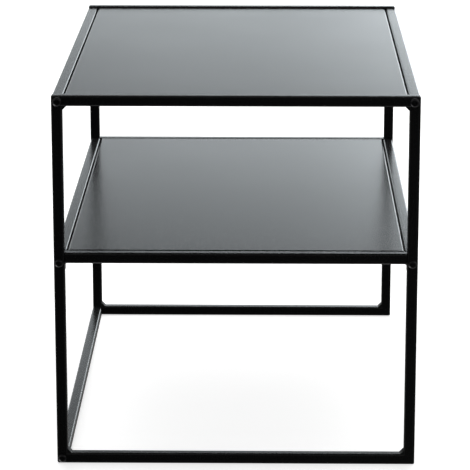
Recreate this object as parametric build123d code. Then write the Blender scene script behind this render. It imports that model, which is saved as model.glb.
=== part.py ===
"""Two-tier side table: two welded tube end frames, bolted side rails and two lift-out sheet panels.

Millimetres. X runs across the end frames, Y along the table from the front end to the rear end, Z up.
The origin is on the floor, at the centre of the footprint.
"""
import os
from dataclasses import dataclass

from build123d import *

# Overall size
WIDTH = 400.0
DEPTH = 600.0
HEIGHT = 420.0

# Square steel tube
TUBE = 12.0
WALL = 1.2
TUBE_RADIUS = 2.0
FRAME_CORNER_BEVEL = 1.4

# The top and its side rails lie a little below the tops of the end frames
TOP_STEP = 2.0

# Middle shelf
SHELF_TOP = 244.0
SHELF_RAIL_HEIGHT = 15.0
SHELF_RAIL_INSET = 1.2
END_PLATE_THICKNESS = 5.0
END_PLATE_HEIGHT = 22.0

# Corner webs welded into the end frames
WEB_LEG = 4.2
WEB_ROOT = 1.2
WEB_THICKNESS = 11.0


@dataclass(frozen=True)
class ButtonScrew:
    """Button-head hex socket screw, and the holes that go with it."""

    radius: float
    head_radius: float
    head_height: float
    head_flat_radius: float
    across_flats: float
    socket_depth: float
    clearance_radius: float
    tapped_radius: float


# Every screw has its head on the outside of an end frame
M6 = ButtonScrew(2.95, 5.25, 3.3, 2.7, 4.0, 2.1, 3.25, 3.0)
M5 = ButtonScrew(2.45, 4.75, 2.75, 2.3, 3.0, 1.6, 2.75, 2.5)
LONG_SCREW = 25.0
SHORT_SCREW = 16.0
CORNER_SCREW_IN = 6.9
CORNER_SCREW_DOWN = 7.0
SHELF_SCREW_Z = 232.3
PLUG_LENGTH = 20.0

# Sheet panels and what carries them
PANEL_GAP = 1.5
SHEET = 1.0
FLANGE = 10.0
BEND_RADIUS = 2.0
TAB_THICKNESS = 2.0
TAB_REACH = 14.0
TAB_WIDTH = 16.0
SIDE_TAB_Y = 180.0
CHANNEL_LENGTH = 540.0
CHANNEL_TOP_WIDTH = 24.0
CHANNEL_DEPTH = 8.0
CHANNEL_FOOT = 12.0
CHANNEL_SHEET = 0.8

# Places worked out from the sizes above
HALF_WIDTH = WIDTH / 2
HALF_DEPTH = DEPTH / 2
TUBE_MID = TUBE / 2
LEG_X = HALF_WIDTH - TUBE_MID
FRAME_Y = HALF_DEPTH - TUBE_MID
BAY_HALF_WIDTH = HALF_WIDTH - TUBE
BAY_HALF_DEPTH = HALF_DEPTH - TUBE
TOP_LEVEL = HEIGHT - TOP_STEP
TOP_RAIL_Z = TOP_LEVEL - TUBE_MID
SHELF_RAIL_X = LEG_X - SHELF_RAIL_INSET
CORNER_SCREW_X = HALF_WIDTH - CORNER_SCREW_IN
CORNER_SCREW_Z = HEIGHT - CORNER_SCREW_DOWN
ALL_ROUND = 360

LEFT, RIGHT = -1, 1
FRONT, REAR = -1, 1
DOWN, UP = -1, 1
SIDES = {"left": LEFT, "right": RIGHT}
ENDS = {"front": FRONT, "rear": REAR}


def write(node, shape):
    """Writes one sub-part to its own STEP file."""
    export_step(shape, f"parts/{node}.step")


def tube_outline(width=TUBE, height=TUBE):
    return RectangleRounded(width, height, TUBE_RADIUS)


def tube_section(width, height):
    """Hollow rounded-rectangle section on the XY plane."""
    outer = tube_outline(width, height)
    bore = RectangleRounded(width - 2 * WALL, height - 2 * WALL, TUBE_RADIUS - WALL)
    return outer - bore


def tube_along_x(length):
    return extrude(Plane.YZ * tube_section(TUBE, TUBE), length / 2, both=True)


def tube_along_y(length, height=TUBE):
    return extrude(Plane.XZ * tube_section(TUBE, height), length / 2, both=True)


def tube_along_z(length):
    return extrude(tube_section(TUBE, TUBE), length / 2, both=True)


def mitre_cut(points, end):
    """Prism through an end frame with the given XZ outline, for cutting a tube to its mitres."""
    outline = Plane.XZ * make_face(Polyline(*points, close=True))
    return Pos(0, end * FRAME_Y, 0) * extrude(outline, TUBE, both=True)


def screw_hole(x, end, z, radius, length=2 * TUBE):
    """Cylinder along Y through an end frame."""
    return Pos(x, end * FRAME_Y, z) * Rot(X=90) * Cylinder(radius, length)


def drilled(shape, end):
    """Shape with the clearance holes of one end frame."""
    places = [(side * CORNER_SCREW_X, CORNER_SCREW_Z, M6) for side in SIDES.values()]
    places += [(side * LEG_X, SHELF_SCREW_Z, M5) for side in SIDES.values()]
    places.append((LEFT * LEG_X, TUBE_MID, M5))
    for x, z, size in places:
        shape = shape - screw_hole(x, end, z, size.clearance_radius)
    return shape


def leg(side, end):
    """Upright with a mitre at each end and the outer corners dressed off."""
    outer_x = side * HALF_WIDTH
    inner_x = side * BAY_HALF_WIDTH
    mitre_x = side * (HALF_WIDTH - FRAME_CORNER_BEVEL / 2)
    outline = [
        (outer_x, FRAME_CORNER_BEVEL),
        (mitre_x, FRAME_CORNER_BEVEL / 2),
        (inner_x, TUBE),
        (inner_x, HEIGHT - TUBE),
        (mitre_x, HEIGHT - FRAME_CORNER_BEVEL / 2),
        (outer_x, HEIGHT - FRAME_CORNER_BEVEL),
    ]
    tube = Pos(side * LEG_X, end * FRAME_Y, HEIGHT / 2) * tube_along_z(HEIGHT)
    return drilled(tube & mitre_cut(outline, end), end)


def mitred_rail(end, z_outer, inward):
    """Rail at the top or the foot of an end frame, mitred to the legs. inward is the way to the bay."""
    z_inner = z_outer + inward * TUBE
    z_mitre = z_outer + inward * FRAME_CORNER_BEVEL / 2
    right_half = [
        (HALF_WIDTH - FRAME_CORNER_BEVEL, z_outer),
        (HALF_WIDTH - FRAME_CORNER_BEVEL / 2, z_mitre),
        (BAY_HALF_WIDTH, z_inner),
    ]
    outline = right_half + [(-x, z) for x, z in right_half[::-1]]
    tube = Pos(0, end * FRAME_Y, (z_outer + z_inner) / 2) * tube_along_x(WIDTH)
    return drilled(tube & mitre_cut(outline, end), end)


def mid_rail(end):
    """Shelf rail butted between the two legs of an end frame."""
    return Pos(0, end * FRAME_Y, SHELF_TOP - TUBE_MID) * tube_along_x(2 * BAY_HALF_WIDTH)


def corner_web(side, z, up):
    """Triangular web in an inner corner, closed down onto the rounded edges of both tubes."""
    x = side * BAY_HALF_WIDTH
    root_x = x + side * WEB_ROOT
    root_z = z - up * WEB_ROOT
    toe_x = x - side * WEB_LEG
    toe_z = z + up * WEB_LEG
    outline = [(root_x, root_z), (toe_x, root_z), (toe_x, z), (x, toe_z), (root_x, toe_z)]
    web = extrude(Plane.XZ * make_face(Polyline(*outline, close=True)), WEB_THICKNESS / 2, both=True)
    upright = Pos(side * LEG_X, 0, HEIGHT / 2) * extrude(tube_outline(), HEIGHT / 2, both=True)
    crosswise = Pos(0, 0, z - up * TUBE_MID) * extrude(Plane.YZ * tube_outline(), HALF_WIDTH, both=True)
    return web - upright - crosswise


def corner_webs(end):
    """Four webs, one in each inner corner of an end frame."""
    webs = []
    for side in SIDES.values():
        for z, up in ((TUBE, UP), (HEIGHT - TUBE, DOWN)):
            webs.append(Pos(0, end * FRAME_Y, 0) * corner_web(side, z, up))
    return Compound(children=webs)


def side_rail(x, z, height=TUBE, length=2 * BAY_HALF_DEPTH):
    return Pos(x, 0, z) * tube_along_y(length, height)


def rail_plug(x, z, screw_x, screw_z, size, end):
    """Block pressed into the end of a side rail and tapped for its screw."""
    bore = TUBE - 2 * WALL
    section = Plane.XZ * RectangleRounded(bore, bore, TUBE_RADIUS - WALL)
    block = extrude(section, PLUG_LENGTH / 2, both=True)
    block = Pos(x, end * (BAY_HALF_DEPTH - PLUG_LENGTH / 2), z) * block
    hole = Rot(X=90) * Cylinder(size.tapped_radius, 3 * PLUG_LENGTH)
    return block - Pos(screw_x, end * BAY_HALF_DEPTH, screw_z) * hole


def shelf_end_plate(side, end):
    """Tapped plate welded to the end of a shelf side rail, hidden behind the leg."""
    inner_x = BAY_HALF_WIDTH
    outer_x = HALF_WIDTH - SHELF_RAIL_INSET
    width = outer_x - inner_x
    y = end * (BAY_HALF_DEPTH - END_PLATE_THICKNESS / 2)
    centre = (side * (inner_x + width / 2), y, SHELF_TOP - END_PLATE_HEIGHT / 2)
    plate = Pos(*centre) * Box(width, END_PLATE_THICKNESS, END_PLATE_HEIGHT)
    return plate - screw_hole(side * LEG_X, end, SHELF_SCREW_Z, M5.tapped_radius, 4 * TUBE)


def button_screw(size, length):
    """Button-head hex socket screw along +Y, the head's underside on the XZ plane."""
    head = size.head_height
    head_flat = (size.head_flat_radius, head)
    head_edge = (size.head_radius, 0)
    shoulder = (size.head_radius * 0.86, head * 0.62)
    with BuildSketch(Plane.XY) as profile:
        with BuildLine():
            Polyline(head_flat, (0, head), (0, -length))
            Polyline((0, -length), (size.radius, -length), (size.radius, 0), head_edge)
            ThreePointArc(head_edge, shoulder, head_flat)
        make_face()
    turned = revolve(profile.sketch, Axis.Y, ALL_ROUND)
    hexagon = RegularPolygon(size.across_flats / 2, 6, major_radius=False)
    socket = extrude(Plane.XZ.offset(-head) * hexagon, size.socket_depth)
    return Rot(Z=180) * (turned - socket)


def screw_at(x, end, z, size, length):
    """Screw driven through an end frame from its outside."""
    turn = 0 if end == FRONT else 180
    return Pos(x, end * HALF_DEPTH, z) * Rot(Z=turn) * button_screw(size, length)


def screws(places, size, length):
    """The same screw at each place, in both end frames."""
    ends = ENDS.values()
    return Compound(children=[screw_at(x, end, z, size, length) for x, z in places for end in ends])


def sheet_panel(width, top):
    """Shallow tray: flat sheet with its four edges bent down."""
    length = 2 * (BAY_HALF_DEPTH - PANEL_GAP)
    tray = Pos(0, 0, top - FLANGE / 2) * Box(width, length, FLANGE)
    tray = fillet(tray.edges().filter_by(Axis.Z) + tray.edges().group_by(Axis.Z)[-1], BEND_RADIUS)
    inside = Box(width - 2 * SHEET, length - 2 * SHEET, FLANGE)
    inside = Pos(0, 0, top - SHEET - FLANGE / 2) * inside
    upright_edges = inside.edges().filter_by(Axis.Z)
    inside = fillet(upright_edges + inside.edges().group_by(Axis.Z)[-1], BEND_RADIUS - SHEET)
    return tray - inside


def stiffening_channel(top):
    """Hat-section channel spot-welded along the middle of a panel's underside."""
    foot = CHANNEL_TOP_WIDTH / 2 + CHANNEL_FOOT
    web = CHANNEL_TOP_WIDTH / 2
    underside = top - SHEET
    upper = underside - CHANNEL_SHEET
    lower = underside - CHANNEL_DEPTH
    half = [
        (foot, underside),
        (foot, upper),
        (web + CHANNEL_SHEET, upper),
        (web + CHANNEL_SHEET, lower),
    ]
    inner = [(web, underside), (web, lower + CHANNEL_SHEET)]
    outline = [(-x, z) for x, z in half] + half[::-1]
    outline += inner + [(-x, z) for x, z in inner[::-1]]
    face = Plane.XZ * make_face(Polyline(*outline, close=True))
    return extrude(face, CHANNEL_LENGTH / 2, both=True)


def support_tabs(side_x, top):
    """Six tabs welded inside the rails of one tier, which the panel's edges rest on."""
    z = top - FLANGE - TAB_THICKNESS / 2
    long_tab = Box(TAB_REACH, TAB_WIDTH, TAB_THICKNESS)
    end_tab = Box(TAB_WIDTH, TAB_REACH, TAB_THICKNESS)
    tabs = []
    for sign in SIDES.values():
        for y in (-SIDE_TAB_Y, SIDE_TAB_Y):
            tabs.append(Pos(sign * (side_x - TAB_REACH / 2), y, z) * long_tab)
        tabs.append(Pos(0, sign * (BAY_HALF_DEPTH - TAB_REACH / 2), z) * end_tab)
    return Compound(children=tabs)


def build_end_frame(name, end):
    for side_name, side in SIDES.items():
        write(f"{name}_leg_{side_name}", leg(side, end))
    write(f"{name}_top_rail", mitred_rail(end, HEIGHT, DOWN))
    write(f"{name}_mid_rail", mid_rail(end))
    write(f"{name}_floor_rail", mitred_rail(end, 0, UP))
    write(f"{name}_corner_webs", corner_webs(end))


def build_side_rails():
    shelf_rail_length = 2 * (BAY_HALF_DEPTH - END_PLATE_THICKNESS)
    for side_name, side in SIDES.items():
        shelf_z = SHELF_TOP - SHELF_RAIL_HEIGHT / 2
        shelf_rail = side_rail(side * SHELF_RAIL_X, shelf_z, SHELF_RAIL_HEIGHT, shelf_rail_length)
        write(f"top_side_rail_{side_name}", side_rail(side * LEG_X, TOP_RAIL_Z))
        write(f"shelf_side_rail_{side_name}", shelf_rail)
    write("floor_side_rail_left", side_rail(LEFT * LEG_X, TUBE_MID))


def build_joining_parts():
    top_plugs = []
    floor_plugs = []
    end_plates = []
    for end in ENDS.values():
        floor_plugs.append(rail_plug(LEFT * LEG_X, TUBE_MID, LEFT * LEG_X, TUBE_MID, M5, end))
        for side in SIDES.values():
            screw_x = side * CORNER_SCREW_X
            top_plugs.append(rail_plug(side * LEG_X, TOP_RAIL_Z, screw_x, CORNER_SCREW_Z, M6, end))
            end_plates.append(shelf_end_plate(side, end))
    write("top_rail_plugs", Compound(children=top_plugs))
    write("floor_rail_plugs", Compound(children=floor_plugs))
    write("shelf_end_plates", Compound(children=end_plates))
    corner_places = [(side * CORNER_SCREW_X, CORNER_SCREW_Z) for side in SIDES.values()]
    shelf_places = [(side * LEG_X, SHELF_SCREW_Z) for side in SIDES.values()]
    write("corner_screws", screws(corner_places, M6, LONG_SCREW))
    write("shelf_screws", screws(shelf_places, M5, SHORT_SCREW))
    write("floor_screws", screws([(LEFT * LEG_X, TUBE_MID)], M5, LONG_SCREW))


def build_tier(name, side_x, top):
    width = 2 * (side_x - PANEL_GAP)
    write(f"{name}_panel", sheet_panel(width, top))
    write(f"{name}_panel_stiffener", stiffening_channel(top))
    write(f"{name}_panel_tabs", support_tabs(side_x, top))


os.makedirs("parts", exist_ok=True)
for frame_name, frame_end in ENDS.items():
    build_end_frame(frame_name, frame_end)
build_side_rails()
build_joining_parts()
build_tier("top", BAY_HALF_WIDTH, TOP_LEVEL)
build_tier("shelf", SHELF_RAIL_X - TUBE_MID, SHELF_TOP)
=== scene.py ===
"""Finished look of a two-tier side table: square steel tube end frames and rails, sheet steel top
and shelf, button screws, all in satin black.

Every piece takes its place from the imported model. Metres, Z up, the table's long way along Y.
"""
import math

import bmesh
import bpy
from bpy.props import FloatProperty, FloatVectorProperty, IntProperty, PointerProperty
from bpy.types import Operator, Panel, PropertyGroup
from mathutils import Matrix, Vector


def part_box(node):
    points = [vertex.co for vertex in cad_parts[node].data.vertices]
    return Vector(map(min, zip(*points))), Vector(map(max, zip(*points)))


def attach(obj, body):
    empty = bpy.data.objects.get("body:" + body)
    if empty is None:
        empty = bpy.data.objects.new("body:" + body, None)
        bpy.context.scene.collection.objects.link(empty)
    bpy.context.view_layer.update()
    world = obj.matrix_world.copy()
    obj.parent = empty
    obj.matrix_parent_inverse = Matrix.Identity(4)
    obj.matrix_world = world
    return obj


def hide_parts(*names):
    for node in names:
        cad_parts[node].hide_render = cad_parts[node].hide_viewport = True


bl_info = {
    "name": "Two-tier side table",
    "version": (1, 0, 0),
    "blender": (4, 5, 0),
    "location": "3D View > Sidebar > Side Table",
    "description": "Builds the finished pieces of a square-tube side table round its packed model",
    "category": "Object",
}

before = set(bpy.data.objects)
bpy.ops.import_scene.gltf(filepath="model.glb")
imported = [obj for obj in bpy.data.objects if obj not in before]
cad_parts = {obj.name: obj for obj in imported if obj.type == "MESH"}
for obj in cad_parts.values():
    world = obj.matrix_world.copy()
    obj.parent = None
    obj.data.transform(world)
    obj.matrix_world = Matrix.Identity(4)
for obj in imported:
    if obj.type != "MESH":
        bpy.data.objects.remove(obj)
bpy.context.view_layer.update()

MM = 0.001
X_AXIS, Y_AXIS, Z_AXIS = Vector((1, 0, 0)), Vector((0, 1, 0)), Vector((0, 0, 1))
ENDS = {"front": -1, "rear": 1}
SIDES = {"left": -1, "right": 1}
# Each tier's panel is a body of the tier's own name
TIERS = ("top", "shelf")

# Places read from the model
LEG_LOW, LEG_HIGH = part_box("front_leg_left")
HALF_WIDTH = -LEG_LOW.x
HALF_DEPTH = -LEG_LOW.y
TUBE = LEG_HIGH.x - LEG_LOW.x
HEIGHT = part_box("front_top_rail")[1].z
BAY_HALF_WIDTH = HALF_WIDTH - TUBE
BAY_HALF_DEPTH = HALF_DEPTH - TUBE
SHELF_RAIL_LOW, SHELF_RAIL_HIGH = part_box("shelf_side_rail_left")
SHELF_TOP = SHELF_RAIL_HIGH.z
FRAME_Y = HALF_DEPTH - TUBE / 2

# Panel tabs: how far they stand out, their width and thickness, and the side tabs' place
TAB_REACH = 14 * MM
TAB_WIDTH = 16 * MM
TAB_THICKNESS = 2 * MM
SIDE_TAB_Y = 180 * MM

END_PLATE = 5 * MM

# Relief of the finishes in metres, and roughness of the powder coat's haze
TUBE_PEEL = 0.000006
SHEET_PEEL = 0.000003
WELD_PEEL = 0.000012
PLATING_STREAK = 0.000003
CUTTING_MARK = 0.00001
HAZE_ROUGHNESS = 0.7
WELD_ROUGHER = 0.06

# Screws by node: length, thread and socket of the M6 and M5 sizes
M6 = {"pitch": 1.0 * MM, "crest": 2.95 * MM, "flats": 4.0 * MM, "clearance": 3.25 * MM}
M5 = {"pitch": 0.8 * MM, "crest": 2.45 * MM, "flats": 3.0 * MM, "clearance": 2.75 * MM}
SCREWS = {
    "corner_screws": {**M6, "length": 25 * MM},
    "shelf_screws": {**M5, "length": 16 * MM},
    "floor_screws": {**M5, "length": 25 * MM},
}


# ---------------------------------------------------------------- settings


class SideTableSizes(PropertyGroup):
    """Small sizes that the finished pieces add to the model."""

    tube_radius: FloatProperty(
        name="Tube edge radius",
        description="Radius of the tube's four long edges",
        default=2.0 * MM,
        unit="LENGTH",
    )
    tube_wall: FloatProperty(
        name="Tube wall",
        description="Thickness of the tube's wall",
        default=1.2 * MM,
        unit="LENGTH",
    )
    corner_radius: FloatProperty(
        name="Frame corner radius",
        description="Radius that the end frames' outer corners are dressed to",
        default=2.0 * MM,
        unit="LENGTH",
    )
    edge_segments: IntProperty(
        name="Edge segments",
        description="Steps in each rounded edge",
        default=6,
        min=2,
        max=12,
    )
    sheet: FloatProperty(
        name="Panel sheet",
        description="Thickness of the sheet in the top and the shelf",
        default=1.0 * MM,
        unit="LENGTH",
    )
    bend_radius: FloatProperty(
        name="Panel bend radius",
        description="Outer radius where a panel's edge is bent down",
        default=2.0 * MM,
        unit="LENGTH",
    )
    weld_leg: FloatProperty(
        name="Weld size",
        description="Width of the small fillet welds",
        default=1.8 * MM,
        unit="LENGTH",
    )
    corner_weld: FloatProperty(
        name="Corner weld size",
        description="Width of the heavy welds inside the end frames' corners",
        default=4.2 * MM,
        unit="LENGTH",
    )
    drain_radius: FloatProperty(
        name="Drain hole radius",
        description="Radius of the drain holes under the rails",
        default=2.0 * MM,
        unit="LENGTH",
    )


class SideTableFinish(PropertyGroup):
    """Colours and gloss of the finishes."""

    powder_colour: FloatVectorProperty(
        name="Powder coat colour",
        description="Colour of the powder coat",
        default=(0.010, 0.0105, 0.011),
        size=3,
        subtype="COLOR",
        min=0,
        max=1,
    )
    tube_roughness: FloatProperty(
        name="Tube roughness",
        description="Roughness of the powder coat on the tubes",
        default=0.26,
        subtype="FACTOR",
        min=0,
        max=1,
    )
    sheet_roughness: FloatProperty(
        name="Panel roughness",
        description="Roughness of the powder coat on the sheet panels",
        default=0.25,
        subtype="FACTOR",
        min=0,
        max=1,
    )
    haze: FloatProperty(
        name="Haze",
        description="Share of the broad, milky sheen that powder coat has over its gloss",
        default=0.06,
        subtype="FACTOR",
        min=0,
        max=1,
    )
    screw_colour: FloatVectorProperty(
        name="Screw colour",
        description="Colour of the black plated screws",
        default=(0.03, 0.03, 0.032),
        size=3,
        subtype="COLOR",
        min=0,
        max=1,
    )


class SideTableStudio(PropertyGroup):
    """Camera and light."""

    lens: FloatProperty(
        name="Lens",
        description="Focal length of the camera",
        default=192.7,
        subtype="DISTANCE_CAMERA",
    )
    camera_place: FloatVectorProperty(
        name="Camera place",
        description="Where the camera stands",
        default=(0.0355, -2.9634, 0.9594),
        size=3,
        subtype="TRANSLATION",
        unit="LENGTH",
    )
    camera_tilt: FloatProperty(
        name="Camera tilt",
        description="How far the camera looks down",
        default=math.radians(14.61),
        subtype="ANGLE",
    )
    camera_turn: FloatProperty(
        name="Camera turn",
        description="How far the camera turns to the left",
        default=math.radians(0.78),
        subtype="ANGLE",
    )
    overhead_power: FloatProperty(
        name="Overhead light",
        description="Power of the soft light above the table",
        default=35.0,
        unit="POWER",
    )
    card_colour: FloatVectorProperty(
        name="Light card colour",
        description="Colour of the big light card behind the table",
        default=(0.93, 1.0, 1.04),
        size=3,
        subtype="COLOR",
        min=0,
        max=2,
    )
    floor_colour: FloatVectorProperty(
        name="Floor colour",
        description="Colour of the pale floor",
        default=(0.72, 0.72, 0.72),
        size=3,
        subtype="COLOR",
        min=0,
        max=1,
    )
    floor_glow: FloatProperty(
        name="Floor glow",
        description="Light that the floor gives of itself, which softens the shadows on it",
        default=0.75,
        min=0,
        max=2,
    )


# ---------------------------------------------------------------- materials


class Value:
    """A shader socket that takes part in sums: an expression on values adds its Math nodes."""

    def __init__(self, graph, socket):
        self.graph = graph
        self.socket = socket

    def _math(self, operation, first, second=None):
        inputs = [first] if second is None else [first, second]
        return self.graph.add("ShaderNodeMath", {"operation": operation}, inputs)

    def __add__(self, other):
        return self._math("ADD", self, other)

    def __radd__(self, other):
        return self._math("ADD", other, self)

    def __sub__(self, other):
        return self._math("SUBTRACT", self, other)

    def __rsub__(self, other):
        return self._math("SUBTRACT", other, self)

    def __mul__(self, other):
        return self._math("MULTIPLY", self, other)

    def __rmul__(self, other):
        return self._math("MULTIPLY", other, self)

    def clamped(self):
        return self.graph.add("ShaderNodeClamp", {}, {"Value": self}, "Result")

    def ramp(self, low, high):
        """0 at low, 1 at high, smooth between and outside."""
        settings = {"interpolation_type": "SMOOTHSTEP"}
        inputs = {"Value": self, "From Min": low, "From Max": high}
        return self.graph.add("ShaderNodeMapRange", settings, inputs, "Result")


class Graph:
    """Adds nodes to one node tree."""

    def __init__(self, tree):
        self.tree = tree
        tree.nodes.clear()

    def add(self, kind, settings, inputs, output=0):
        """Adds a node, sets it, fills its sockets by name or in order, and returns one output."""
        node = self.tree.nodes.new(kind)
        for name, value in settings.items():
            setattr(node, name, value)
        pairs = inputs.items() if isinstance(inputs, dict) else enumerate(inputs)
        for name, value in pairs:
            if isinstance(value, Value):
                self.tree.links.new(value.socket, node.inputs[name])
            else:
                node.inputs[name].default_value = value
        return Value(self, node.outputs[output]) if node.outputs else node

    def split(self, vector):
        """The three parts of a vector."""
        node = self.tree.nodes.new("ShaderNodeSeparateXYZ")
        self.tree.links.new(vector.socket, node.inputs[0])
        return [Value(self, output) for output in node.outputs]

    def noise(self, vector, scale, detail=2.0, roughness=0.5):
        inputs = {"Vector": vector, "Scale": scale, "Detail": detail, "Roughness": roughness}
        return self.add("ShaderNodeTexNoise", {}, inputs, "Fac")

    def mix(self, factor, dark, light):
        """Colour between dark and light."""
        node = self.tree.nodes.new("ShaderNodeMix")
        node.data_type = "RGBA"
        self.tree.links.new(factor.socket, node.inputs[0])
        node.inputs[6].default_value = (*dark, 1)
        node.inputs[7].default_value = (*light, 1)
        return Value(self, node.outputs[2])

    def bump(self, height, strength, distance, normal=None):
        inputs = {"Height": height, "Strength": strength, "Distance": distance}
        if normal:
            inputs["Normal"] = normal
        return self.add("ShaderNodeBump", {}, inputs, "Normal")

    def surface(self, **inputs):
        """Ends the tree in a surface. Its sockets are named with _ for each space."""
        named = {name.replace("_", " "): value for name, value in inputs.items()}
        shader = self.add("ShaderNodeBsdfPrincipled", {}, named)
        self.add("ShaderNodeOutputMaterial", {}, {"Surface": shader})


def scaled(colour, factor):
    return tuple(c * factor for c in colour)


def new_graph(name):
    """A new material with its graph and the place on the piece that its patterns follow."""
    material = bpy.data.materials.new(name)
    material.use_nodes = True
    graph = Graph(material.node_tree)
    place = graph.add("ShaderNodeTexCoord", {}, {}, "Object")
    return material, graph, place


def powder_coat(name, roughness, peel_height):
    """Satin black powder coat: fine orange peel, faint clouding and a few specks."""
    finish = bpy.context.scene.side_table_finish
    material, graph, place = new_graph(name)
    colour = tuple(finish.powder_colour)
    clouds = graph.noise(place, 9.0, 3.0)
    peel = graph.noise(place, 620.0, 2.0)
    grain = graph.noise(place, 2600.0, 1.0)
    specks = graph.noise(place, 1400.0, 0.0).ramp(0.74, 0.80)
    pale = (clouds * 0.5 + specks * 0.5).clamped()
    base = graph.mix(pale, scaled(colour, 0.8), scaled(colour, 1.7))
    rough = roughness - 0.02 + clouds * 0.03 + grain * 0.025 + specks * 0.10
    normal = graph.bump(peel, 1.0, peel_height)
    normal = graph.bump(grain, 1.0, peel_height * 0.12, normal)
    graph.surface(
        Base_Color=base, Roughness=rough, Normal=normal,
        Coat_Weight=finish.haze, Coat_Roughness=HAZE_ROUGHNESS,
    )
    return material


def plated_screw_steel():
    """Glossy black plating, a little uneven where the tool marks stand proud."""
    finish = bpy.context.scene.side_table_finish
    material, graph, place = new_graph("black_plated_steel")
    colour = tuple(finish.screw_colour)
    streaks = graph.noise(place, 900.0, 3.0, 0.7)
    blotch = graph.noise(place, 260.0, 2.0)
    pale = (streaks * 0.6 + blotch * 0.4).clamped()
    base = graph.mix(pale, scaled(colour, 0.4), scaled(colour, 1.8))
    rough = 0.10 + blotch * 0.12
    normal = graph.bump(streaks, 1.0, PLATING_STREAK)
    graph.surface(Base_Color=base, Roughness=rough, Metallic=0.4, Normal=normal)
    return material


def bare_turned_steel():
    """Machined mild steel with cutting marks, for the tapped plugs."""
    material, graph, place = new_graph("bare_machined_steel")
    fineness = (400.0, 3000.0, 400.0)
    stretch = graph.add("ShaderNodeMapping", {}, {"Vector": place, "Scale": fineness})
    marks = graph.noise(stretch, 1.0, 2.0)
    stain = graph.noise(place, 120.0, 3.0)
    base = graph.mix(stain, (0.42, 0.42, 0.43), (0.62, 0.62, 0.63))
    rough = 0.28 + marks * 0.2
    normal = graph.bump(marks, 1.0, CUTTING_MARK)
    graph.surface(Base_Color=base, Roughness=rough, Metallic=1.0, Normal=normal)
    return material


def material_named(name):
    """Finish by name, made the first time that it is asked for."""
    if name in bpy.data.materials:
        return bpy.data.materials[name]
    finish = bpy.context.scene.side_table_finish
    makers = {
        "tube_powder_coat": lambda: powder_coat(name, finish.tube_roughness, TUBE_PEEL),
        "sheet_powder_coat": lambda: powder_coat(name, finish.sheet_roughness, SHEET_PEEL),
        "weld_powder_coat": lambda: powder_coat(
            name, finish.tube_roughness + WELD_ROUGHER, WELD_PEEL
        ),
        "black_plated_steel": plated_screw_steel,
        "bare_machined_steel": bare_turned_steel,
    }
    return makers[name]()


# ---------------------------------------------------------------- mesh helpers


def finished_piece(name, mesh, material, body, nodes=(), sharp_angle=40):
    """Makes an object of a bmesh and gives it its finish and body, and hides the nodes that it
    replaces.
    """
    if mesh.faces:
        bmesh.ops.recalc_face_normals(mesh, faces=mesh.faces[:])
    data = bpy.data.meshes.new(name)
    mesh.to_mesh(data)
    mesh.free()
    piece = bpy.data.objects.new(name, data)
    bpy.context.scene.collection.objects.link(piece)
    dress(piece, material, sharp_angle)
    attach(piece, body)
    if nodes:
        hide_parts(*nodes)
    return piece


def coated_part(node, mesh):
    """Powder-coated piece of the frame in place of one node."""
    finished_piece(f"coated_{node}", mesh, "tube_powder_coat", "frame", [node])


def frame_weld(name, mesh, nodes=()):
    """Coated weld on the frame."""
    finished_piece(name, mesh, "weld_powder_coat", "frame", nodes)


def dress(piece, material, sharp_angle):
    """Material, smooth shading and weighted normals, so that flat faces stay flat."""
    piece.data.materials.clear()
    piece.data.materials.append(material_named(material))
    piece.data.shade_smooth()
    piece.data.set_sharp_from_angle(angle=math.radians(sharp_angle))
    weighted = piece.modifiers.new("flat faces", "WEIGHTED_NORMAL")
    weighted.mode = "FACE_AREA"
    weighted.weight = 90
    weighted.keep_sharp = True


def cut_away(mesh, cutter):
    """The bmesh with the cutter's closed shells taken out of it."""
    objects = []
    for name, source in (("blank", mesh), ("cutter", cutter)):
        bmesh.ops.recalc_face_normals(source, faces=source.faces[:])
        data = bpy.data.meshes.new(name)
        source.to_mesh(data)
        source.free()
        objects.append(bpy.data.objects.new(name, data))
        bpy.context.scene.collection.objects.link(objects[-1])
    blank, tool = objects
    cut = blank.modifiers.new("cut", "BOOLEAN")
    cut.operation = "DIFFERENCE"
    cut.solver = "EXACT"
    cut.object = tool
    graph = bpy.context.evaluated_depsgraph_get()
    result = bmesh.new()
    result.from_mesh(blank.evaluated_get(graph).to_mesh())
    for made in objects:
        data = made.data
        bpy.data.objects.remove(made)
        bpy.data.meshes.remove(data)
    bmesh.ops.remove_doubles(result, verts=result.verts[:], dist=1e-7)
    return result


def add_copy(target, source, matrix):
    """Adds a placed copy of one bmesh to another."""
    data = bpy.data.meshes.new("copy")
    source.to_mesh(data)
    data.transform(matrix)
    target.from_mesh(data)
    bpy.data.meshes.remove(data)


def turned_to(u_axis, v_axis, w_axis, place):
    """Matrix that lays a piece made along its own u, v and w on the table."""
    matrix = Matrix((u_axis, v_axis, w_axis)).transposed().to_4x4()
    matrix.translation = place
    return matrix


def rounded_face(mesh, width, height, radius, segments):
    """One flat face in XY with rounded corners."""
    grid = bmesh.ops.create_grid(mesh, x_segments=1, y_segments=1, size=0.5)
    bmesh.ops.scale(mesh, vec=(width, height, 1), verts=grid["verts"])
    bmesh.ops.bevel(
        mesh, geom=grid["verts"], offset=radius, offset_type="OFFSET", segments=segments,
        profile=0.5, affect="VERTICES", clamp_overlap=False, material=-1,
    )


def tube_ring(mesh, width, height, wall, radius, segments):
    """The tube's section as a flat ring in XY. The layer outer marks its outer edge."""
    rounded_face(mesh, width, height, radius, segments)
    outer = mesh.verts.layers.float.new("outer")
    for vert in mesh.verts:
        vert[outer] = 1.0
    inner = bmesh.ops.inset_region(
        mesh, faces=mesh.faces[:], thickness=wall, use_even_offset=True, use_boundary=True
    )
    middle = max(mesh.faces, key=lambda face: len(face.verts))
    for vert in middle.verts:
        vert[outer] = 0.0
    bmesh.ops.delete(mesh, geom=[middle], context="FACES_ONLY")
    return inner


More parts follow.
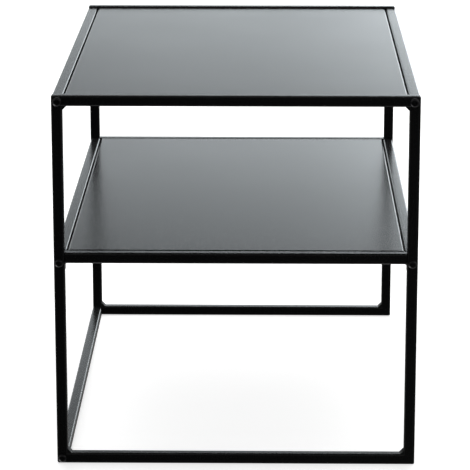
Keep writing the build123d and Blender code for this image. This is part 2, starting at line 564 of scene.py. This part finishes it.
def push_out(mesh, faces, distance):
    """Extrudes faces along Z and returns the new ones."""
    result = bmesh.ops.extrude_face_region(mesh, geom=faces)["geom"]
    verts = [item for item in result if isinstance(item, bmesh.types.BMVert)]
    bmesh.ops.translate(mesh, vec=(0, 0, distance), verts=verts)
    return [item for item in result if isinstance(item, bmesh.types.BMFace)]


def face_verts(faces):
    return {vert for face in faces for vert in face.verts}


def straight_tube(length, width, height):
    """Tube along Z with square-cut ends whose edges are just broken."""
    sizes = bpy.context.scene.side_table_sizes
    break_size = 0.25 * MM
    mesh = bmesh.new()
    tube_ring(mesh, width, height, sizes.tube_wall, sizes.tube_radius, sizes.edge_segments)
    outer = mesh.verts.layers.float["outer"]
    start = mesh.faces[:]
    end = push_out(mesh, start, length / 2 - break_size)
    end = push_out(mesh, end, break_size)
    for vert in face_verts(end):
        if vert[outer] > 0.5:
            vert.co.x -= math.copysign(break_size, vert.co.x) * (abs(vert.co.x) > width / 4)
            vert.co.y -= math.copysign(break_size, vert.co.y) * (abs(vert.co.y) > height / 4)
    return mirrored_about_middle(mesh)


def mirrored_about_middle(mesh):
    """Adds the other half of a tube made from its middle upwards."""
    middle = [face for face in mesh.faces if all(abs(v.co.z) < 1e-9 for v in face.verts)]
    bmesh.ops.delete(mesh, geom=middle, context="FACES_ONLY")
    everything = mesh.verts[:] + mesh.edges[:] + mesh.faces[:]
    bmesh.ops.mirror(mesh, geom=everything, matrix=Matrix(), merge_dist=1e-7, axis="Z")
    bmesh.ops.remove_doubles(mesh, verts=mesh.verts[:], dist=1e-7)
    return mesh


def mitred_tube(length):
    """Tube along Z whose ends are mitred towards -X, with the outer corner dressed round."""
    sizes = bpy.context.scene.side_table_sizes
    radius = sizes.corner_radius
    steps = sizes.edge_segments // 2
    mesh = bmesh.new()
    tube_ring(mesh, TUBE, TUBE, sizes.tube_wall, sizes.tube_radius, sizes.edge_segments)
    across = mesh.verts.layers.float.new("across")
    for vert in mesh.verts:
        vert[across] = TUBE / 2 - vert.co.x
    end = push_out(mesh, mesh.faces[:], length / 2)
    for step in range(steps + 1):
        angle = math.radians(45) * step / steps
        if step:
            end = push_out(mesh, end, 0.0)
        for vert in face_verts(end):
            depth = vert[across]
            reach = radius - depth
            if reach > 0:
                vert.co.x = TUBE / 2 - radius + reach * math.cos(angle)
                vert.co.z = length / 2 - radius + reach * math.sin(angle)
            else:
                vert.co.z = length / 2 - depth
    return mirrored_about_middle(mesh)


def cylinders(mesh, places, radius, length, axis, segments=32):
    """Closed cylinders centred on places."""
    turn = Z_AXIS.rotation_difference(axis).to_matrix().to_4x4()
    for place in places:
        bmesh.ops.create_cone(
            mesh, cap_ends=True, segments=segments, radius1=radius, radius2=radius,
            depth=length, matrix=Matrix.Translation(place) @ turn,
        )
    return mesh


def rounded_block(mesh, low, high, radius, segments=2):
    """Box between two corners with all its edges rounded."""
    size = high - low
    matrix = Matrix.Translation((low + high) / 2) @ Matrix.Diagonal((*size, 1))
    made = bmesh.ops.create_cube(mesh, size=1, matrix=matrix)
    edges = {edge for vert in made["verts"] for edge in vert.link_edges}
    bmesh.ops.bevel(
        mesh, geom=list(edges), offset=radius, offset_type="OFFSET", segments=segments,
        profile=0.5, affect="EDGES", clamp_overlap=True, material=-1,
    )


SMALL_BEAD = [(-0.15, -0.15), (1, -0.15), (0.97, 0.12), (0.62, 0.62), (0.12, 0.97), (-0.15, 1)]
CORNER_BEAD = [(-0.25, -0.25), (1, -0.25), (0.98, 0.03), (0.51, 0.51), (0.03, 0.98), (-0.25, 1)]


def weld_bead(mesh, start, end, walls, leg, section=SMALL_BEAD, pitch=1.1 * MM, end_scale=0.35):
    """Rippled fillet weld along the inner corner of two walls, given by a vector along each."""
    run = end - start
    steps = max(8, round(run.length / pitch * 4))
    outline = [(walls[0] * a + walls[1] * b) * leg for a, b in section]
    corner = mesh.verts.layers.int.get("corner") or mesh.verts.layers.int.new("corner")
    verts = [mesh.verts.new(start + point * end_scale) for point in outline]
    for number, vert in enumerate(verts):
        vert[corner] = number
    faces = [mesh.faces.new(verts)]
    rounding = 0.45 * leg / run.length
    for step in range(1, steps + 1):
        share = step / steps
        result = bmesh.ops.extrude_face_region(mesh, geom=faces)["geom"]
        faces = [item for item in result if isinstance(item, bmesh.types.BMFace)]
        inward = min(1.0, min(share, 1 - share) / rounding)
        fullness = end_scale + (1 - end_scale) * math.sqrt(inward * (2 - inward))
        ripple = 1 + 0.09 * abs(math.sin(math.pi * share * run.length / pitch))
        for vert in face_verts(faces):
            vert.co = start + run * share + outline[vert[corner]] * fullness * ripple
    return mesh


# ---------------------------------------------------------------- pieces


def screw_centres(node):
    """Head centres of a node's screws, read from its loose shells: (x, end, z)."""
    low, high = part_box(node)
    head = high.z - low.z
    single = high.x - low.x < 2 * head
    xs = [(low.x + high.x) / 2] if single else [low.x + head / 2, high.x - head / 2]
    z = (low.z + high.z) / 2
    return [(x, end, z) for x in xs for end in ENDS.values()]


def screw_holes():
    """Clearance holes through both walls of the end frames at every screw."""
    mesh = bmesh.new()
    for node, size in SCREWS.items():
        places = [Vector((x, end * FRAME_Y, z)) for x, end, z in screw_centres(node)]
        cylinders(mesh, places, size["clearance"], TUBE * 1.5, Y_AXIS)
    return mesh


def drain_holes(places):
    """Cutters for the holes under the rails."""
    sizes = bpy.context.scene.side_table_sizes
    return cylinders(bmesh.new(), places, sizes.drain_radius, TUBE / 2, Z_AXIS, 24)


def tab_places(tier):
    """Root of each panel tab on the rails' inner faces, with the way it points."""
    low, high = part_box(f"{tier}_panel_tabs")
    places = []
    for sign in (-1, 1):
        for y in (-SIDE_TAB_Y, SIDE_TAB_Y):
            places.append((Vector((sign * high.x, y, low.z)), X_AXIS * -sign))
        places.append((Vector((0, sign * high.y, low.z)), Y_AXIS * -sign))
    return places


class SIDETABLE_OT_end_frames(Operator):
    """Legs and rails of both welded end frames"""

    bl_idname = "side_table.end_frames"
    bl_label = "End frames"
    bl_options = {"REGISTER", "UNDO"}

    drain_share = 0.8

    def execute(self, context):
        for end_name, end in ENDS.items():
            y = end * FRAME_Y
            for side_name, side in SIDES.items():
                place = Vector((side * (HALF_WIDTH - TUBE / 2), y, HEIGHT / 2))
                lay = turned_to(X_AXIS * side, Y_AXIS * side, Z_AXIS, place)
                self.mitred(f"{end_name}_leg_{side_name}", HEIGHT, lay)
            for level, up, z in (("top", 1, HEIGHT - TUBE / 2), ("floor", -1, TUBE / 2)):
                lay = turned_to(Z_AXIS * up, Y_AXIS * -up, X_AXIS, Vector((0, y, z)))
                self.mitred(f"{end_name}_{level}_rail", HALF_WIDTH * 2, lay)
            self.mid_rail(end_name, y)
        return {"FINISHED"}

    def mitred(self, node, length, lay):
        mesh = mitred_tube(length)
        mesh.transform(lay)
        mesh = cut_away(mesh, screw_holes())
        if "floor" in node:
            y = lay.translation.y
            x = HALF_WIDTH * self.drain_share
            places = [Vector((side * x, y, 0)) for side in SIDES.values()]
            mesh = cut_away(mesh, drain_holes(places))
        coated_part(node, mesh)

    def mid_rail(self, end_name, y):
        mesh = straight_tube(2 * BAY_HALF_WIDTH, TUBE, TUBE)
        place = Vector((0, y, SHELF_TOP - TUBE / 2))
        mesh.transform(turned_to(Z_AXIS, Y_AXIS * -1, X_AXIS, place))
        coated_part(f"{end_name}_mid_rail", mesh)


class SIDETABLE_OT_side_rails(Operator):
    """Top, shelf and floor rails that join the end frames"""

    bl_idname = "side_table.side_rails"
    bl_label = "Side rails"
    bl_options = {"REGISTER", "UNDO"}

    drain_share = 0.86

    def execute(self, context):
        nodes = [f"{tier}_side_rail_{side}" for tier in TIERS for side in SIDES]
        for node in [*nodes, "floor_side_rail_left"]:
            low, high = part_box(node)
            middle = (low + high) / 2
            size = high - low
            mesh = straight_tube(size.y, size.x, size.z)
            mesh.transform(turned_to(X_AXIS, Z_AXIS, Y_AXIS * -1, middle))
            y = BAY_HALF_DEPTH * self.drain_share
            places = [Vector((middle.x, end * y, low.z)) for end in ENDS.values()]
            mesh = cut_away(mesh, drain_holes(places))
            coated_part(node, mesh)
        return {"FINISHED"}


class SIDETABLE_OT_corner_welds(Operator):
    """Heavy fillet welds in the inner corners of the end frames"""

    bl_idname = "side_table.corner_welds"
    bl_label = "Corner welds"
    bl_options = {"REGISTER", "UNDO"}

    pitch = 1.9 * MM
    flush = 0.15 * MM
    end_scale = 0.93

    def execute(self, context):
        for end_name in ENDS:
            node = f"{end_name}_corner_webs"
            low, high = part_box(node)
            leg = context.scene.side_table_sizes.corner_weld
            start_y, end_y = low.y - self.flush, high.y + self.flush
            mesh = bmesh.new()
            for side in SIDES.values():
                for z, up in ((TUBE, 1), (HEIGHT - TUBE, -1)):
                    start = Vector((side * BAY_HALF_WIDTH, start_y, z))
                    end = Vector((side * BAY_HALF_WIDTH, end_y, z))
                    walls = (X_AXIS * -side, Z_AXIS * up)
                    bead = (CORNER_BEAD, self.pitch, self.end_scale)
                    weld_bead(mesh, start, end, walls, leg, *bead)
            frame_weld(f"{end_name}_corner_welds", mesh, [node])
        return {"FINISHED"}


class SIDETABLE_OT_end_plates(Operator):
    """Tapped plates on the ends of the shelf's side rails"""

    bl_idname = "side_table.end_plates"
    bl_label = "Shelf rail end plates"
    bl_options = {"REGISTER", "UNDO"}

    edge = 0.5 * MM
    thread_gap = 0.05 * MM

    def execute(self, context):
        node = "shelf_end_plates"
        low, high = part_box(node)
        thickness = high.y - BAY_HALF_DEPTH + END_PLATE
        mesh = bmesh.new()
        places = []
        for side in SIDES.values():
            for end in ENDS.values():
                xs = sorted((side * BAY_HALF_WIDTH, side * high.x))
                ys = sorted((end * BAY_HALF_DEPTH, end * (BAY_HALF_DEPTH - thickness)))
                corners = Vector((xs[0], ys[0], low.z)), Vector((xs[1], ys[1], high.z))
                rounded_block(mesh, *corners, self.edge)
        for x, end, z in screw_centres("shelf_screws"):
            places.append(Vector((x, end * BAY_HALF_DEPTH, z)))
        tapped = SCREWS["shelf_screws"]["crest"] + self.thread_gap
        mesh = cut_away(mesh, cylinders(bmesh.new(), places, tapped, TUBE * 1.5, Y_AXIS))
        coated_part(node, mesh)
        return {"FINISHED"}


class SIDETABLE_OT_tabs(Operator):
    """Tabs inside the rails that the two panels rest on"""

    bl_idname = "side_table.tabs"
    bl_label = "Panel tabs"
    bl_options = {"REGISTER", "UNDO"}

    edge = 0.4 * MM

    def execute(self, context):
        for tier in TIERS:
            node = f"{tier}_panel_tabs"
            low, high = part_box(node)
            mesh = bmesh.new()
            for place, inward in tab_places(tier):
                across = Z_AXIS.cross(inward)
                half = across * TAB_WIDTH / 2
                corners = [place - half, place + half + inward * TAB_REACH]
                first = Vector([min(a, b) for a, b in zip(*corners)])
                last = Vector([max(a, b) for a, b in zip(*corners)])
                first.z, last.z = low.z, high.z
                rounded_block(mesh, first, last, self.edge)
            coated_part(node, mesh)
        return {"FINISHED"}


class SIDETABLE_OT_welds(Operator):
    """Fillet welds at the shelf rails, the panel tabs and the end plates"""

    bl_idname = "side_table.welds"
    bl_label = "Welds"
    bl_options = {"REGISTER", "UNDO"}

    tab_run = 0.42
    tab_leg = 0.8
    plate_leg = 0.9

    def execute(self, context):
        leg = context.scene.side_table_sizes.weld_leg
        flat = TUBE / 2 - context.scene.side_table_sizes.tube_radius
        for end_name, end in ENDS.items():
            mesh = bmesh.new()
            for side in SIDES.values():
                place = Vector((side * BAY_HALF_WIDTH, end * FRAME_Y, SHELF_TOP - TUBE))
                walls = (X_AXIS * -side, -Z_AXIS)
                weld_bead(mesh, place - Y_AXIS * flat, place + Y_AXIS * flat, walls, leg)
            frame_weld(f"{end_name}_mid_rail_welds", mesh)
        for tier in TIERS:
            mesh = bmesh.new()
            for place, inward in tab_places(tier):
                across = Z_AXIS.cross(inward) * TAB_WIDTH * self.tab_run
                top = place + Z_AXIS * TAB_THICKNESS
                weld_bead(mesh, top - across, top + across, (inward, Z_AXIS), leg * self.tab_leg)
            frame_weld(f"{tier}_tab_welds", mesh)
        self.end_plate_welds(leg * self.plate_leg)
        return {"FINISHED"}

    def end_plate_welds(self, leg):
        """Beads under the shelf's side rails, where they meet their end plates."""
        mesh = bmesh.new()
        plate_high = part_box("shelf_end_plates")[1]
        for side in SIDES.values():
            for end in ENDS.values():
                y = end * (plate_high.y - END_PLATE)
                xs = (side * (BAY_HALF_WIDTH + 1 * MM), side * (plate_high.x - 2 * MM))
                start, stop = (Vector((x, y, SHELF_RAIL_LOW.z)) for x in xs)
                weld_bead(mesh, start, stop, (-Z_AXIS, Y_AXIS * -end), leg)
        frame_weld("end_plate_welds", mesh)


class SIDETABLE_OT_screws(Operator):
    """Button-head hex socket screws"""

    bl_idname = "side_table.screws"
    bl_label = "Screws"
    bl_options = {"REGISTER", "UNDO"}

    turn_step = math.radians(17)
    around = 48
    dome_steps = 10
    thread_depth = 0.55
    bare_end = 3 * MM
    neck = 2.2 * MM
    head_edge = 0.15 * MM
    rim_share = 0.14
    flat_share = 0.5
    sharp_angle = 32

    def execute(self, context):
        for node, size in SCREWS.items():
            low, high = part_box(node)
            head_radius, head_height = (high.z - low.z) / 2, high.y - HALF_DEPTH
            screw = self.screw(size, head_radius, head_height)
            mesh = bmesh.new()
            for number, (x, end, z) in enumerate(screw_centres(node)):
                place = Vector((x, end * HALF_DEPTH, z))
                lay = turned_to(X_AXIS, Z_AXIS * -end, Y_AXIS * end, place)
                add_copy(mesh, screw, lay @ Matrix.Rotation(self.turn_step * number, 4, "Z"))
            screw.free()
            finished_piece(
                f"plated_{node}", mesh, "black_plated_steel", "frame", [node],
                self.sharp_angle,
            )
        return {"FINISHED"}

    def profile(self, size, head_radius, head_height):
        """Half outline from the screw's point to the middle of its head, as (radius, height)."""
        length, pitch, crest = size["length"], size["pitch"], size["crest"]
        root = crest - self.thread_depth * pitch
        points = [(0, -length), (root, -length)]
        for thread in range(int((length - self.bare_end) / pitch)):
            base = -length + thread * pitch
            points += [(crest, base + 0.45 * pitch), (crest, base + 0.55 * pitch)]
            points.append((root, base + pitch))
        rim = self.rim_share * head_height
        points += [(crest, -self.neck), (crest, 0), (head_radius - self.head_edge, 0)]
        flat = head_radius * self.flat_share
        rise, reach = head_height - rim, head_radius - flat
        for step in range(self.dome_steps + 1):
            angle = math.radians(90) * step / self.dome_steps
            points.append((flat + reach * math.cos(angle), rim + rise * math.sin(angle)))
        return points + [(0, head_height)]

    def screw(self, size, head_radius, head_height):
        """Turned screw along Z with the head's underside at zero and a hex socket cut in."""
        mesh = bmesh.new()
        outline = self.profile(size, head_radius, head_height)
        verts = [mesh.verts.new((radius, 0, height)) for radius, height in outline]
        edges = [mesh.edges.new(pair) for pair in zip(verts, verts[1:])]
        bmesh.ops.spin(
            mesh, geom=verts + edges, cent=(0, 0, 0), axis=(0, 0, 1), angle=math.tau,
            steps=self.around, use_merge=True,
        )
        bmesh.ops.remove_doubles(mesh, verts=mesh.verts[:], dist=1e-7)
        corner = size["flats"] / math.sqrt(3)
        top = Matrix.Translation((0, 0, head_height))
        socket = bmesh.new()
        bmesh.ops.create_cone(
            socket, cap_ends=True, segments=6, radius1=corner, radius2=corner,
            depth=size["flats"] * 1.05, matrix=top,
        )
        mesh = cut_away(mesh, socket)
        chamfer = bmesh.new()
        bmesh.ops.create_cone(
            chamfer, cap_ends=True, segments=self.around, radius1=corner * 0.86,
            radius2=corner * 1.2, depth=corner * 0.4, matrix=top,
        )
        return cut_away(mesh, chamfer)


class SIDETABLE_OT_panels(Operator):
    """Bent sheet top and shelf"""

    bl_idname = "side_table.panels"
    bl_label = "Sheet panels"
    bl_options = {"REGISTER", "UNDO"}

    corner_radius = 2.0 * MM
    slit_width = 0.4 * MM
    slit_length = 8 * MM
    slit_drop = 1 * MM
    slit_share = 0.78

    def execute(self, context):
        for tier in TIERS:
            node = f"{tier}_panel"
            low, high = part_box(node)
            mesh = self.tray(low, high)
            mesh = cut_away(mesh, self.corner_slits(low, high))
            finished_piece(
                f"coated_{node}", mesh, "sheet_powder_coat", tier, [node]
            )
        return {"FINISHED"}

    def tray(self, low, high):
        """Sheet with four bent-down edges, open underneath."""
        sizes = bpy.context.scene.side_table_sizes
        size = high - low
        mesh = bmesh.new()
        rounded_face(mesh, size.x, size.y, self.corner_radius, sizes.edge_segments)
        foot = mesh.faces[:]
        roof = push_out(mesh, foot, size.z)
        level = [face for face in mesh.faces if abs(face.normal.z) > 0.9]
        floor = [face for face in level if face not in roof]
        bmesh.ops.delete(mesh, geom=floor, context="FACES_ONLY")
        rim = [edge for face in roof for edge in face.edges]
        bmesh.ops.bevel(
            mesh, geom=rim, offset=sizes.bend_radius, offset_type="OFFSET",
            segments=sizes.edge_segments, profile=0.5, affect="EDGES", clamp_overlap=False,
            material=-1,
        )
        bmesh.ops.recalc_face_normals(mesh, faces=mesh.faces[:])
        roof = max(mesh.faces, key=lambda face: face.calc_area())
        if roof.normal.z < 0:
            bmesh.ops.reverse_faces(mesh, faces=mesh.faces[:])
        bmesh.ops.solidify(mesh, geom=mesh.faces[:], thickness=sizes.sheet)
        middle = (low + high) / 2
        bmesh.ops.translate(mesh, vec=(middle.x, middle.y, low.z), verts=mesh.verts[:])
        return mesh

    def corner_slits(self, low, high):
        """Thin blades that open the joint between two bent edges at each corner."""
        mesh = bmesh.new()
        height = (high.z - low.z) * self.slit_share
        for x in (low.x, high.x):
            for y in (low.y, high.y):
                turn = Matrix.Rotation(math.copysign(math.radians(45), x * y), 4, "Z")
                place = Matrix.Translation((x, y, low.z + height / 2 - self.slit_drop))
                shape = Matrix.Diagonal((self.slit_length, self.slit_width, height, 1))
                bmesh.ops.create_cube(mesh, size=1, matrix=place @ turn @ shape)
        return mesh


class SIDETABLE_OT_stiffeners(Operator):
    """Hat channels under the panels, with their spot welds"""

    bl_idname = "side_table.stiffeners"
    bl_label = "Stiffeners"
    bl_options = {"REGISTER", "UNDO"}

    sheet = 0.8 * MM
    foot = 12.0 * MM
    bend = 1.0 * MM
    spot_spacing = 60 * MM
    spot_radius = 2.4 * MM
    spot_rise = 0.22 * MM

    def execute(self, context):
        for tier in TIERS:
            node = f"{tier}_panel_stiffener"
            low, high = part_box(node)
            mesh = self.channel(low, high)
            finished_piece(
                f"coated_{node}", mesh, "sheet_powder_coat", tier, [node]
            )
            name = f"{tier}_panel_spot_welds"
            spots = self.spots(low, high)
            finished_piece(name, spots, "weld_powder_coat", tier)
        return {"FINISHED"}

    def channel(self, low, high):
        """Hat section drawn as a line, drawn out along the panel, bent round and thickened."""
        web = high.x - self.foot
        base = low.z + self.sheet
        outline = [(low.x, high.z), (-web, high.z), (-web, base)]
        outline += [(web, base), (web, high.z), (high.x, high.z)]
        mesh = bmesh.new()
        verts = [mesh.verts.new((x, low.y, z)) for x, z in outline]
        edges = [mesh.edges.new(pair) for pair in zip(verts, verts[1:])]
        made = bmesh.ops.extrude_edge_only(mesh, edges=edges)["geom"]
        moved = [item for item in made if isinstance(item, bmesh.types.BMVert)]
        bmesh.ops.translate(mesh, vec=(0, high.y - low.y, 0), verts=moved)
        folds = [edge for edge in mesh.edges if len(edge.link_faces) == 2]
        bmesh.ops.bevel(
            mesh, geom=folds, offset=self.bend, offset_type="OFFSET", segments=4,
            profile=0.5, affect="EDGES", clamp_overlap=True, material=-1,
        )
        bmesh.ops.recalc_face_normals(mesh, faces=mesh.faces[:])
        foot = max(mesh.faces, key=lambda face: face.calc_center_median().z)
        if foot.normal.z < 0:
            bmesh.ops.reverse_faces(mesh, faces=mesh.faces[:])
        bmesh.ops.solidify(mesh, geom=mesh.faces[:], thickness=self.sheet)
        return mesh

    def spots(self, low, high):
        """Shallow round buttons where the feet are spot-welded to the sheet."""
        mesh = bmesh.new()
        count = int((high.y - low.y) / self.spot_spacing)
        for number in range(count):
            y = (number - (count - 1) / 2) * self.spot_spacing
            for x in (low.x + self.foot / 2, high.x - self.foot / 2):
                place = Matrix.Translation((x, y, high.z - self.sheet))
                flat = Matrix.Diagonal((self.spot_radius, self.spot_radius, self.spot_rise, 1))
                bmesh.ops.create_uvsphere(
                    mesh, u_segments=20, v_segments=8, radius=1, matrix=place @ flat
                )
        return mesh


class SIDETABLE_OT_plugs(Operator):
    """Finish of the tapped plugs inside the rails' ends"""

    bl_idname = "side_table.plugs"
    bl_label = "Rail plugs"
    bl_options = {"REGISTER", "UNDO"}

    def execute(self, context):
        for node in ("top_rail_plugs", "floor_rail_plugs"):
            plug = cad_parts[node]
            plug.data.materials.clear()
            plug.data.materials.append(material_named("bare_machined_steel"))
        return {"FINISHED"}


# ---------------------------------------------------------------- stage


class SIDETABLE_OT_stage(Operator):
    """Pale floor, soft light and the camera"""

    bl_idname = "side_table.stage"
    bl_label = "Stage"
    bl_options = {"REGISTER", "UNDO"}

    floor_half = 7.0
    soft_light = 0.5
    card_y = 5.0
    card_width = 8.0
    card_height = 3.0
    lamp_size = 2.4
    lamp_place = (0, 1.7, 2.3)
    lamp_tilt = math.radians(-30)

    def execute(self, context):
        studio = context.scene.side_table_studio
        self.floor(studio)
        self.surround(context.scene)
        self.light_card(studio)
        self.overhead(studio)
        self.camera(context.scene, studio)
        return {"FINISHED"}

    def floor(self, studio):
        mesh = bmesh.new()
        bmesh.ops.create_grid(mesh, x_segments=8, y_segments=8, size=self.floor_half)
        floor = self.stage_piece("floor", mesh)
        material, graph, place = new_graph("pale_floor")
        colour = tuple(studio.floor_colour)
        mottle = graph.noise(place, 3.0, 4.0)
        base = graph.mix(mottle, scaled(colour, 0.99), scaled(colour, 1.01))
        graph.surface(
            Base_Color=base, Roughness=0.9,
            Emission_Color=(1, 1, 1, 1), Emission_Strength=studio.floor_glow,
        )
        floor.data.materials.append(material)
        floor.visible_glossy = False
        floor.visible_diffuse = False

    def stage_piece(self, name, mesh):
        data = bpy.data.meshes.new(name)
        mesh.to_mesh(data)
        mesh.free()
        piece = bpy.data.objects.new(name, data)
        bpy.context.scene.collection.objects.link(piece)
        return piece

    def surround(self, scene):
        """White to the eye, soft light mostly from behind, and a dim pattern in reflections."""
        world = scene.world or bpy.data.worlds.new("surround")
        scene.world = world
        world.use_nodes = True
        graph = Graph(world.node_tree)
        way = graph.add("ShaderNodeTexCoord", {}, {}, "Generated")
        x, y, z = graph.split(way)
        aside = x.ramp(0.15, 0.50) + 1 - x.ramp(-0.50, -0.15)
        behind = 0.03 + 0.60 * z.ramp(0.36, 0.66) + 0.40 * aside * (1 - z.ramp(0.45, 0.80))
        facing = 0.02 + 0.36 * z.ramp(0.13, 0.34) * (1 - z.ramp(0.45, 0.80))
        around = facing + (behind - facing) * y.ramp(-0.1, 0.6)
        upper = around * (0.85 + 0.30 * x.ramp(-0.5, 0.5))
        beneath = (1 - z.ramp(-0.90, -0.60)) * (1.1 - 0.6 * x.ramp(-0.5, 0.3))
        beside = 0.10 * x.ramp(-0.12, 0.35) + 0.20 * (1 - x.ramp(-0.90, -0.50))
        beside = beside + 0.16 * y.ramp(0.10, 0.70)
        glint = 2.4 * (1 - x.ramp(-0.60, -0.30)) * (1 - z.ramp(-0.75, -0.40))
        lower = 0.002 + beside + beneath + glint
        mirrored = lower + (upper - lower) * z.ramp(-0.06, 0.10)
        rays = graph.tree.nodes.new("ShaderNodeLightPath")
        seen = Value(graph, rays.outputs["Is Camera Ray"])
        soft = Value(graph, rays.outputs["Is Diffuse Ray"])
        even = self.soft_light * (0.3 + 2.2 * y.ramp(-0.3, 0.7)) * z.ramp(-0.05, 0.05)
        strength = mirrored + (even - mirrored) * soft
        strength = strength + (1 - strength) * seen
        glow = {"Color": (1, 1, 1, 1), "Strength": strength}
        light = graph.add("ShaderNodeBackground", {}, glow)
        graph.add("ShaderNodeOutputWorld", {}, {"Surface": light})

    def light_card(self, studio):
        """Big card behind the table, seen only in reflections, dimmer upwards and to the left."""
        mesh = bmesh.new()
        place = Matrix.Translation((0, self.card_y, self.card_height / 2))
        stand = place @ Matrix.Rotation(math.radians(90), 4, "X")
        shape = Matrix.Diagonal((self.card_width, self.card_height, 1, 1))
        bmesh.ops.create_grid(mesh, x_segments=4, y_segments=4, size=0.5, matrix=stand @ shape)
        card = self.stage_piece("light_card", mesh)
        material, graph, place = new_graph("light_card")
        x, y, z = graph.split(place)
        across = 1.55 + 0.80 * x.ramp(-1.2, 0.2) + 2.00 * x.ramp(0.0, 0.9)
        upwards = (0.4 + 0.6 * z.ramp(0.3, 1.0)) * (1 - z.ramp(1.15, 1.68))
        colour = (*studio.card_colour, 1)
        glow = graph.add("ShaderNodeEmission", {}, {"Color": colour, "Strength": across * upwards})
        clear = graph.add("ShaderNodeBsdfTransparent", {}, {})
        both = graph.add("ShaderNodeAddShader", {}, [glow, clear])
        graph.add("ShaderNodeOutputMaterial", {}, {"Surface": both})
        card.data.materials.append(material)
        card.visible_camera = False
        card.visible_diffuse = False
        card.visible_shadow = False

    def overhead(self, studio):
        data = bpy.data.lights.new("overhead_softbox", "AREA")
        data.shape = "SQUARE"
        data.size = self.lamp_size
        data.energy = studio.overhead_power
        lamp = bpy.data.objects.new("overhead_softbox", data)
        lamp.location = self.lamp_place
        lamp.rotation_euler = (self.lamp_tilt, 0, 0)
        lamp.visible_glossy = False
        bpy.context.scene.collection.objects.link(lamp)

    def camera(self, scene, studio):
        data = bpy.data.cameras.new("camera")
        data.lens = studio.lens
        camera = bpy.data.objects.new("camera", data)
        camera.location = studio.camera_place
        camera.rotation_euler = (math.radians(90) - studio.camera_tilt, 0, studio.camera_turn)
        scene.collection.objects.link(camera)
        scene.camera = camera
        scene.view_settings.view_transform = "Standard"


# ---------------------------------------------------------------- add-on


SETTINGS = {
    "side_table_sizes": SideTableSizes,
    "side_table_finish": SideTableFinish,
    "side_table_studio": SideTableStudio,
}
OPERATORS = (
    SIDETABLE_OT_stage,
    SIDETABLE_OT_end_frames,
    SIDETABLE_OT_side_rails,
    SIDETABLE_OT_corner_welds,
    SIDETABLE_OT_end_plates,
    SIDETABLE_OT_tabs,
    SIDETABLE_OT_welds,
    SIDETABLE_OT_screws,
    SIDETABLE_OT_panels,
    SIDETABLE_OT_stiffeners,
    SIDETABLE_OT_plugs,
)


class SIDETABLE_PT_sidebar(Panel):
    """Settings of the side table and a button for each group of pieces"""

    bl_idname = "SIDETABLE_PT_sidebar"
    bl_label = "Side Table"
    bl_space_type = "VIEW_3D"
    bl_region_type = "UI"
    bl_category = "Side Table"

    def draw(self, context):
        for name in SETTINGS:
            box = self.layout.box()
            settings = getattr(context.scene, name)
            for field in settings.bl_rna.properties:
                if not field.is_readonly and field.identifier != "name":
                    box.prop(settings, field.identifier)
        for operator in OPERATORS:
            self.layout.operator(operator.bl_idname)


CLASSES = (*SETTINGS.values(), *OPERATORS, SIDETABLE_PT_sidebar)


def register():
    for cls in CLASSES:
        bpy.utils.register_class(cls)
    for name, cls in SETTINGS.items():
        setattr(bpy.types.Scene, name, PointerProperty(type=cls))


def unregister():
    for name in SETTINGS:
        delattr(bpy.types.Scene, name)
    for cls in reversed(CLASSES):
        bpy.utils.unregister_class(cls)


def main():
    register()
    for operator in OPERATORS:
        group, name = operator.bl_idname.split(".")
        getattr(getattr(bpy.ops, group), name)()


if __name__ == "__main__":
    main()
